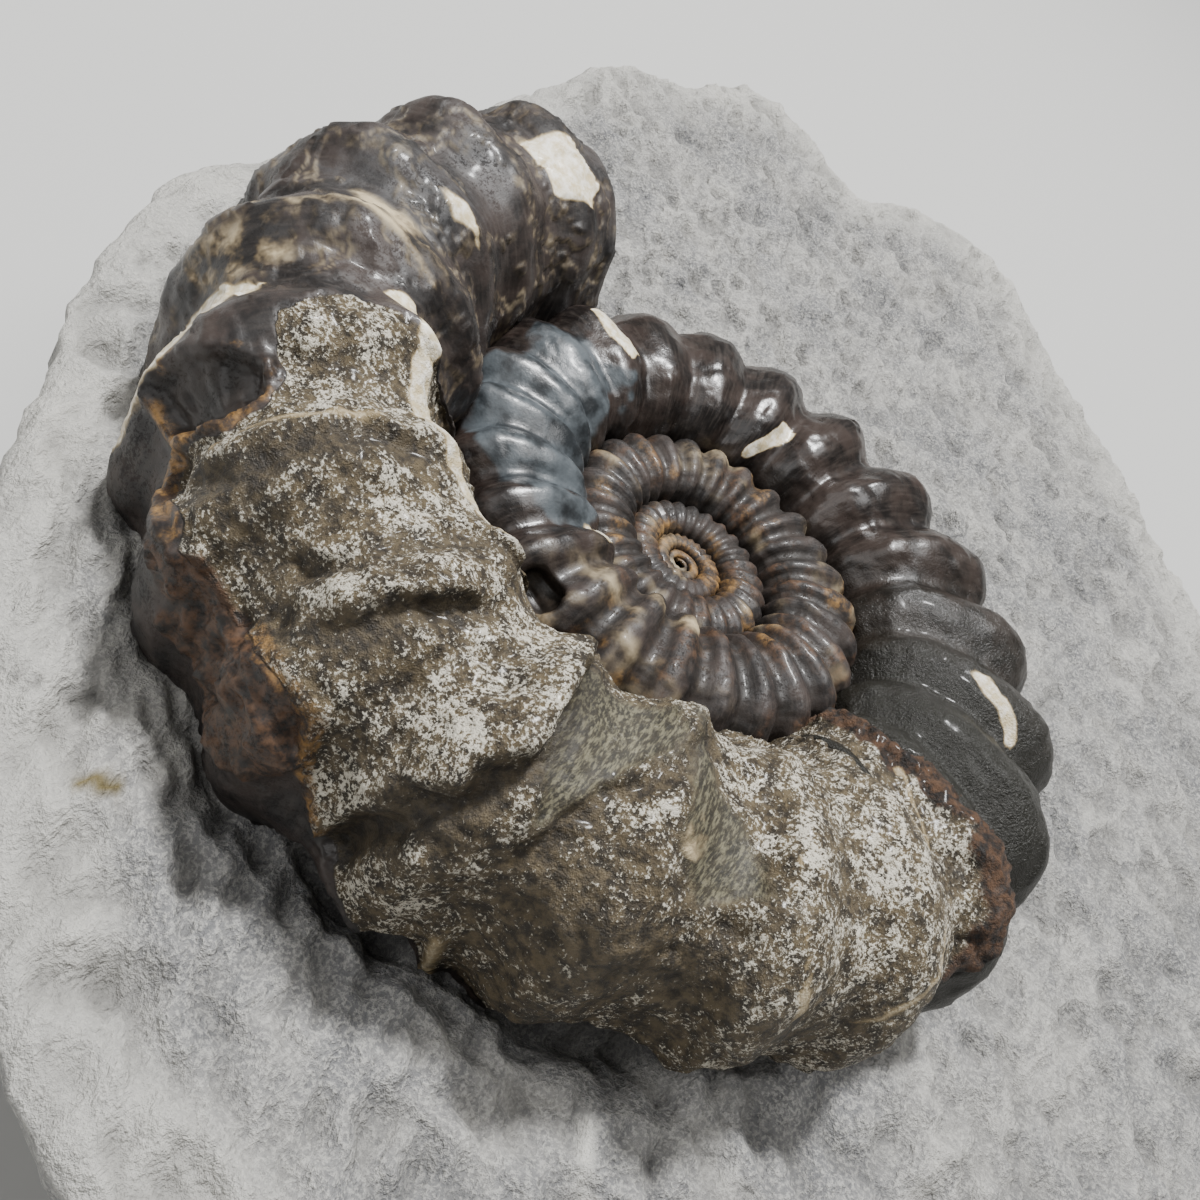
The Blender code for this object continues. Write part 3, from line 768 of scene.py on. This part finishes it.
def body_whorl(tree, material):
    """The swollen last half turn: a crusted mould with broken shell at both ends."""
    item = coil_mesh(tree, "body_whorl", BODY_START, COIL_END, BODY_GRID, BODY_RIBS, material)
    angle, section, points, normals = coil_places(item.data)
    lumps = layered(points, 7.0, 3, 2)
    rough = layered(points, 2.0, 11, 4, 0.62) - 0.7 * np.abs(layered(points, 1.3, 17, 2)) + 0.3
    flakes = layered(points, 3.0, 91, 4, 0.55)
    chips = rise(flakes, -0.35, -0.25) + rise(flakes, 0.1, 0.2) + rise(flakes, 0.6, 0.7)
    wander = wandering(points)

    # Where each kind of surface lies
    from_start = MM_PER_WHORL_DEGREE * (angle - smooth_line(section, CRUST_EDGE)) + 0.5 * wander
    to_shell = MM_PER_WHORL_DEGREE * (smooth_line(section, SHELL_EDGE) - angle) + 0.4 * wander
    over_low = MM_PER_SECTION_DEGREE * (section - smooth_line(angle, LOW_EDGE)) + 0.4 * wander
    started = rise(from_start, -0.3, 0.3)
    crust = started * rise(to_shell, -0.25, 0.25) * rise(over_low, -0.25, 0.25)
    shell = started * (1.0 - crust)
    smooth = np.maximum(region(angle, section, SMOOTH_FACET, 0.2 * wander, 0.5),
                        region(angle, section, SMOOTH_STRIPE, 0.15 * wander, 0.5))
    oval = region(angle, section, OVAL_FACET, 0.1 * wander, 0.3)
    oval_rim = np.clip(region(angle, section, OVAL_FACET, 0.1 * wander + 0.7, 0.3) - oval, 0, 1)
    flake = region(angle, section, BROKEN_FLAKE, 0.4 * wander, 0.3)
    lip = band(angle, section, AMBER_LIP, 1.1, 0.3 * wander)
    flake_edge = band(angle, section, FLAKE_EDGE, 1.0, 0.4 * wander)
    red = started * (1.0 - rise(from_start + 0.8 * wander, 1.6, 2.8)) * rise(section, -40, -10)
    bulge = patch(angle, section, *BULGE, 0.1 * wander)
    peg = np.exp(-((angle - PEG_ANGLE - 0.06 * section) / 1.2) ** 2) * rise(-section, -2, 8)
    ledge_height, ledge_foot_shade = terraces(angle, section, wander)

    # Height over the plain ribbed whorl, in millimetres
    height = 0.22 * lumps
    height += crust * (1.0 - 0.9 * smooth) * (1.0 - 0.35 * bulge) * 0.24 * rough
    height += crust * (1.0 - 0.6 * smooth) * ledge_height
    height += 0.8 * bulge * (1.0 - red)
    height += red * (0.12 * layered(points, 1.0, 83, 3) + 0.22 * chips - 0.15)
    knobs = sum(tall * np.exp(-((angle - place) / half) ** 2) for place, half, tall in KNOBS)
    height += np.exp(-((section - KNOB_SECTION) / 14) ** 2) * knobs
    for depth, low, high, first, last, soft in SEAM_HOLLOWS:
        height -= depth * rise(section, low, high) * between_places(angle, first, last, soft)
    height += shell * (0.3 + 0.35 * layered(points, 4.5, 87, 3) * rise(angle, 138, 150) + 0.16 * chips)
    torn = 1.0 + 1.3 * layered(points, 1.5, 89, 4, 0.6)
    height += 0.35 * lip + 0.4 * flake * torn + 0.3 * flake_edge
    height += -0.75 * oval + 0.25 * oval_rim
    height += 0.9 * peg - 1.5 * undercut(angle) * rise(-section, 15, 21)
    height += -1.0 * (1.0 - started) + 0.15
    write_points(item.data, points + normals * height[:, None])

    # Stains, fillings, calcite dust, painted light and painted shade
    calcite = band(angle, section, UMBILICAL_CALCITE, 1.2, 0.4 * wander)
    for corners in CALCITE_PATCHES:
        calcite = np.maximum(calcite, region(angle, section, corners, 0.4 * wander))
    for line in WHITE_LINES:
        white = band(angle, section, line, 0.22, 0.3 * wander + 0.1 * rough)
        calcite = np.maximum(calcite, 0.62 * crust * white)
    cream = patch(angle, section, *CREAM_SPOT, 0.2 * wander)
    for corners in CREAM_STAINS:
        cream = np.maximum(cream, region(angle, section, corners, 0.4 * wander, 0.7))
    cream = np.maximum(cream, band(angle, section, CREAM_ARC, 0.6, 0.2 * wander))
    chip_edge = np.exp(-((flakes - 0.15) / 0.07) ** 2) + np.exp(-((flakes + 0.3) / 0.07) ** 2)
    cream = np.maximum(cream, 0.3 * shell * rise(angle, 140, 150) * np.clip(chip_edge, 0, 1))
    amber = np.maximum(lip * (0.6 + 0.4 * wander), flake_edge * (0.55 + 0.4 * wander))
    amber = np.maximum(amber, 0.8 * oval_rim * rise(wander, -0.2, 0.5))
    # Calcite dust whitens the lower flank and the proud crests; the extra white on faces turned up is
    # painted light, and the white taken out of the terraces' feet is painted shade
    dust = 0.34 + 0.5 * np.clip(normals[:, 2], 0, 1) * rise(section, -15, 50) - 0.15 * bulge
    dust += 0.20 * rough + 0.12 * lumps - 0.9 * ledge_foot_shade + 0.35 * np.clip(ledge_height, 0, 1)
    dust += (1.0 - rise(section, -5, 40)) * (0.42 + 0.1 * between_places(angle, 50, 86, 8))
    dust -= 0.75 * smooth + 0.3 * between_places(angle, 64, 84, 3) * (1.0 - rise(section, 30, 56))
    write_masks(
        item.data,
        crust=crust * (1.0 - 0.5 * flake) * (1.0 - oval) * (1.0 - lip),
        calcite=np.maximum(calcite * (1.0 - 0.3 * rise(rough, 0.6, 1.2)), 0.62 * peg),
        cream=cream,
        amber=amber,
        blue=0.35 * rise(angle, 145, 160) * rise(lumps, -0.6, 0.8),
        red=np.maximum(0.95 * red, 0.75 * flake),
        dust=dust,
        smooth=smooth,
        net=bulge * crust * (1.0 - smooth),
        # painted shade in the terraces' feet, the low spots of the crust and the sunken oval
        hollow=crust * (0.7 * ledge_foot_shade + 0.35 * np.clip(-rough - 0.3, 0, 1)) + 0.6 * oval,
    )
    finish_item(item, "ammonite", coil_matrix())


def inner_whorls(tree, material):
    """The ribbed turns before the swollen one: rounded lobes parted by sharp valleys, glossy and dark."""
    item = coil_mesh(tree, "inner_whorls", COIL_START, INNER_END, INNER_GRID, INNER_RIBS, material)
    angle, section, points, normals = coil_places(item.data)
    size = np.clip(seam_radius(angle) / SEAM_RADIUS, 0.1, 1.2)
    wander = wandering(points)
    past_edge = MM_PER_WHORL_DEGREE * (angle - smooth_line(section, CRUST_EDGE)) + 0.5 * wander
    under = rise(past_edge, 0.0, 1.5)
    lumps = layered(points, 2.6, 51, 3)
    chips = rise(lumps, 0.0, 0.12) + rise(lumps, 0.6, 0.75)
    early = 1.0 - rise(angle, -262, -236)
    valley = 1.0 - rise(rib_wave(angle), 0.05, 0.5)
    lobe = rise(angle, -120, -60) * rise(-np.abs(section - 20), -120, -40)
    pit = patch(angle, section, *PIT)
    height = size * (0.16 * lumps + (0.05 + 0.1 * early) * layered(points, 0.9, 53, 3) + 0.07 * chips)
    height -= 0.28 * size * early * valley
    height += 0.6 * lobe * (rib_wave(angle) ** 0.5 - 0.6)
    height -= 0.8 * under + 0.4 * size + 0.9 * pit
    write_points(item.data, points + normals * height[:, None])

    blue = patch(angle, section, *BLUE_FILLING, 0.3 * wander)
    calcite = region(angle, section, INNER_CALCITE, 0.4 * wander)
    for path, width in INNER_CALCITE_BANDS:
        calcite = np.maximum(calcite, band(angle, section, path, width, 0.4 * wander))
    calcite = np.maximum(calcite, patch(angle, section, *INNER_CALCITE_SPOT, 0.3 * wander))
    none = np.zeros(len(angle))
    write_masks(
        item.data,
        crust=none,
        calcite=calcite,
        cream=0.8 * early * rise(lumps, 0.1, 1.1),
        amber=0.55 * early * rise(layered(points, 3.0, 57, 2), 0.1, 0.9),
        blue=blue,
        red=early * np.clip(0.2 + 0.6 * wander, 0, 1),
        dust=0.85 * early + 0.3 * (1.0 - early) * rise(lumps, -0.5, 1.0) + 0.2 * blue,
        smooth=rise(angle, -60, 10),
        net=none,
        # painted shade towards the seam, in low spots, in the early rib valleys and in the pit
        hollow=(0.5 * rise(section, 140, 175) + 0.2 * np.clip(-lumps, 0, 1) + 0.6 * early * valley
                + 0.7 * pit),
    )
    finish_item(item, "ammonite", coil_matrix())


# The slab

SLAB_THICKNESS = 23.0
# Corners of the slab's rim, from the coil's axis in millimetres
SLAB_OUTLINE = (
    (-2.0, -52.0), (-16.0, -44.5), (-28.0, -35.5), (-37.5, -22.5), (-43.5, -11.0), (-47.0, 1.5),
    (-46.0, 15.0), (-43.0, 30.0), (-41.5, 46.0), (-41.0, 58.0), (-37.0, 64.5), (-34.5, 71.0),
    (-30.5, 77.5), (-24.0, 80.0), (-17.0, 77.5), (-11.5, 78.5), (-5.5, 83.5), (2.5, 88.0),
    (10.0, 86.0), (20.0, 76.5), (30.5, 68.0), (39.0, 59.0), (48.5, 49.5), (58.0, 35.0),
    (64.5, 17.0), (66.0, -3.0), (60.5, -21.0), (49.0, -35.0), (33.0, -45.5), (14.0, -52.5),
)
SLAB_MIDDLE = np.array((10.0, 17.0))
# The broken side's profile: reach from the slab's middle and height, both as shares
SIDE_PROFILE = ((0.86, 0.0), (0.90, 0.12), (0.945, 0.38), (0.975, 0.64), (0.995, 0.84), (1.0, 0.93))
# Where the rounded rim starts, as the same shares
RIM_REACH = 0.945
RIM_HEIGHT = 0.93
# The top is a fan that closes under the shell, this far from the coil's axis
TOP_START = 18.0
SLAB_COLUMNS = 620
SIDE_STEPS = 18
RIM_STEPS = 10
TOP_STEPS = 124
# Steel tools scraped the top one way, which draws its grain out across the other
SCRAPE_GRAIN = np.array(((0.78, -0.34, 0.0), (0.62, 0.43, 0.0), (0.0, 0.0, 1.0)))

# Notches in the rim: place from the coil's axis, size and depth
RIM_NOTCHES = (
    ((-33.5, 68.0), 4.0, 2.8), ((-12.0, 77.5), 4.5, 3.2),
    ((-45.0, 8.0), 3.0, 0.8), ((-38.0, -22.0), 3.5, 0.9),
)
# Marks on the top: path from the coil's axis, width, depth, and how much painted shade darkens them, how
# gold and how pale they are. They are cracks and dents, a gold fleck and a white vein.
SLAB_MARKS = (
    (((-22.3, -36.4), (-21.0, -36.0), (-19.6, -34.2)), 0.5, 0.5, 0.8, 0.0, 0.0),
    (((-10.0, -46.2), (-8.4, -44.4), (-6.4, -43.2)), 2.0, 0.7, 0.35, 0.0, 0.0),
    (((-3.2, -48.9), (-2.0, -49.8), (-0.9, -50.4)), 0.8, 0.6, 0.6, 0.0, 0.0),
    (((-15.9, -38.4), (-14.9, -37.5)), 1.2, 0.1, 0.0, 1.0, 0.0),
    (((15.3, -33.3), (16.0, -35.2), (17.2, -37.2)), 0.6, 0.2, 0.0, 0.0, 2.0),
    (((-16.4, -30.5), (-12.6, -33.4), (-8.0, -35.2), (-3.0, -35.8)), 0.7, 0.35, 0.4, 0.0, 0.0),
)


def outline_points(shares):
    """Points on the slab's smooth outline, from the coil's axis."""
    corners = np.array(SLAB_OUTLINE)
    count = len(corners)
    place = shares * count
    start = np.floor(place).astype(int)
    blend = (place - start)[:, None]
    before, here, there, after = (corners[(start + step) % count] for step in (-1, 0, 1, 2))
    squares = 2 * before - 5 * here + 4 * there - after
    cubes = 3 * here - before - 3 * there + after
    return 0.5 * (2 * here + (there - before) * blend + squares * blend ** 2 + cubes * blend ** 3)


def top_swell(x, y):
    """The gentle swells and hollows of the slab's top, in millimetres."""
    wave = np.sin(x / 13.0 + 0.6) * np.cos(y / 17.0 - 0.4) + 0.5 * np.sin((x + 1.7 * y) / 11.0 + 2.0)
    return 0.46 * (wave - 0.4)


def beside_shell(points):
    """Distance of each point from the last turn's outer edge in plan, and its whorl angle."""
    whorl = -np.degrees(np.arctan2(points[:, 1], points[:, 0]))
    whorl = np.where(whorl < -147.0, whorl + 360.0, whorl)
    knots = [(angle, venter_radius) for angle, venter_radius, _ in LAST_TURN]
    return np.linalg.norm(points[:, :2], axis=1) - smooth_line(whorl, knots), whorl


def slab(material):
    """The stone: rings of points up the broken side, over the rim and across the scraped top."""
    columns = SLAB_COLUMNS
    outline = outline_points(np.arange(columns) / columns) - SLAB_MIDDLE
    outward = outline / np.linalg.norm(outline, axis=1)[:, None]
    for spot, size, depth in RIM_NOTCHES:
        near = np.exp(-(np.linalg.norm(outline + SLAB_MIDDLE - spot, axis=1) / size) ** 2)
        outline -= outward * (depth * near)[:, None]
    rings = []
    profile = np.array(SIDE_PROFILE)
    for step in range(SIDE_STEPS):
        height = RIM_HEIGHT * step / SIDE_STEPS
        reach = np.interp(height, profile[:, 1], profile[:, 0])
        rings.append((SLAB_MIDDLE + outline * reach, np.full(columns, height * SLAB_THICKNESS)))
    for step in range(RIM_STEPS):
        turn = math.radians(90.0 * step / RIM_STEPS)
        reach = RIM_REACH + (1.0 - RIM_REACH) * math.cos(turn)
        height = RIM_HEIGHT + (1.0 - RIM_HEIGHT) * math.sin(turn)
        rings.append((SLAB_MIDDLE + outline * reach, np.full(columns, height * SLAB_THICKNESS)))
    rim = SLAB_MIDDLE + outline * RIM_REACH
    start = rim / np.linalg.norm(rim, axis=1)[:, None] * TOP_START
    for step in range(TOP_STEPS + 1):
        share = 1.0 - step / TOP_STEPS
        share = 0.62 * share + 0.38 * share ** 2
        rings.append((start + (rim - start) * share, np.full(columns, SLAB_THICKNESS)))
    points = np.concatenate([np.column_stack(ring) for ring in rings])
    side_out = np.tile(outward, (len(rings), 1))
    ring_number = np.repeat(np.arange(len(rings)), columns)
    on_top = rise(ring_number, SIDE_STEPS, SIDE_STEPS + RIM_STEPS)

    # The side is broken in facets, which die out at the flat underside
    facets = layered(points, 9.0, 61, 4, 0.55)
    sideways = (1.0 - on_top) * (0.75 * facets + 0.25 * layered(points, 1.6, 67, 2))
    sideways *= rise(ring_number, 0.0, 3.0)
    points[:, :2] += side_out * sideways[:, None]

    # The top swells gently, is dented and scraped all over, and rippled and undercut beside the shell
    away, whorl = beside_shell(points)
    scraped = layered(points @ SCRAPE_GRAIN, 1.2, 73, 2, 0.6)
    fine_relief = 0.7 * scraped - 0.9 * np.abs(layered(points, 2.6, 79, 3)) + 0.25
    bumps = 0.45 * layered(points, 9.0, 71, 3, 0.5) + fine_relief
    ripples = np.sin(away * math.tau / 1.5) * np.exp(-np.maximum(away, 0) / 4.0)
    ripples *= between_places(whorl, 70, 150, 15)
    trench = np.exp(-((away + 0.3) / 0.9) ** 2) * between_places(whorl, 40, 170, 15)
    swell = top_swell(points[:, 0], points[:, 1])
    points[:, 2] += on_top * (swell + bumps + 0.25 * ripples - 0.4 * trench)
    points[:, 2] -= on_top * 2.4 * undercut(whorl) * np.exp(-((away + 0.6) / 1.3) ** 2)
    bank = (1.0 - rise(away, -1.9, 0.1)) * (1.0 - between_places(whorl, 50, 112, 8))
    points[:, 2] += on_top * 1.1 * bank

    # Fresh pale breaks along the rim, painted shade in the dents and beside the shell, and the drawn marks
    past_rim = ring_number - SIDE_STEPS
    pale = 0.6 * rise(past_rim, -2, 3) * (1.0 - rise(past_rim, RIM_STEPS, RIM_STEPS + 14))
    gold = np.zeros(len(points))
    # painted shade in the dents, in the recesses of the broken side and close beside the shell
    dents = rise(-fine_relief - 0.2 * layered(points, 0.8, 97, 1), -0.25, 0.85)
    hollow = np.clip(-0.6 * facets - 0.5, 0, 1) * (1.0 - on_top) + on_top * 0.62 * dents
    hollow += 0.8 * on_top * (1.0 - rise(away, -0.8, 0.5))
    for path, width, depth, dark, golden, white in SLAB_MARKS:
        off_path = path_distance(points[:, :2], path) + 0.1 * scraped
        mark = on_top * (1.0 - rise(off_path, 0.3 * width, 0.7 * width))
        points[:, 2] -= depth * mark
        # painted shade in the cracks and dents
        hollow += dark * mark
        gold += golden * mark
        pale += white * mark

    bottom = np.array(((*SLAB_MIDDLE, 0.0),))
    summit = np.array(((0.0, 0.0, SLAB_THICKNESS - 1.0),))
    vertices = np.concatenate((points, bottom, summit))
    vertices[:, :2] += np.array(COIL_CENTRE[:2]) / MM
    last = len(points) - columns
    here = np.arange(last)
    after = here // columns * columns + (here + 1) % columns
    faces = np.column_stack((here, after, after + columns, here + columns)).tolist()
    for column in range(columns):
        beside = (column + 1) % columns
        faces.append((len(points), beside, column))
        faces.append((len(points) + 1, last + column, last + beside))
    mesh = bpy.data.meshes.new("limestone_slab")
    mesh.from_pydata((vertices * MM).tolist(), [], faces)
    mesh.materials.append(material)
    item = add_item("limestone_slab", mesh)
    middles = (0.0, 0.0)
    write_masks(mesh, pale=np.append(pale, middles), gold=np.append(gold, middles),
                hollow=np.append(hollow, middles))
    finish_item(item, "matrix_slab")


# Plain pale floor and soft studio light

# Lights: name, place, size in metres and power in watts
LIGHTS = (
    ("overhead light", (0.22, 0.10, 0.78), 0.34, 2.5),
    ("key light", (-0.12, 0.24, 0.73), 0.09, 12.0),
    ("fill light", (-0.40, -0.50, 0.60), 0.7, 2.8),
)
WORLD_STRENGTH = 0.24


def area_light(name, place, size, power):
    data = bpy.data.lights.new(name, "AREA")
    data.size = size
    data.energy = power
    item = add_item(name, data)
    item.location = place
    item.rotation_euler = (COIL_CENTRE - Vector(place)).to_track_quat("-Z", "Y").to_euler()


def studio():
    floor = bpy.data.meshes.new("floor")
    floor.from_pydata([(-2, -2, 0), (2, -2, 0), (2, 2, 0), (-2, 2, 0)], [], [(0, 1, 2, 3)])
    item = add_item("floor", floor)
    material, _, shader = add_material("studio floor")
    shader.inputs["Base Color"].default_value = linear("#B4B4B2")
    shader.inputs["Roughness"].default_value = 0.9
    floor.materials.append(material)
    for light in LIGHTS:
        area_light(*light)
    world = bpy.data.worlds.new("soft room")
    bpy.context.scene.world = world
    world.use_nodes = True
    background = world.node_tree.nodes["Background"]
    background.inputs["Color"].default_value = linear("#ECEAE6")
    background.inputs["Strength"].default_value = WORLD_STRENGTH


def main():
    ribbed_coil = coil_tree()
    fossil = fossil_material()
    inner_whorls(ribbed_coil, fossil)
    body_whorl(ribbed_coil, fossil)
    slab(limestone_material())
    studio()
    main_camera()


main()
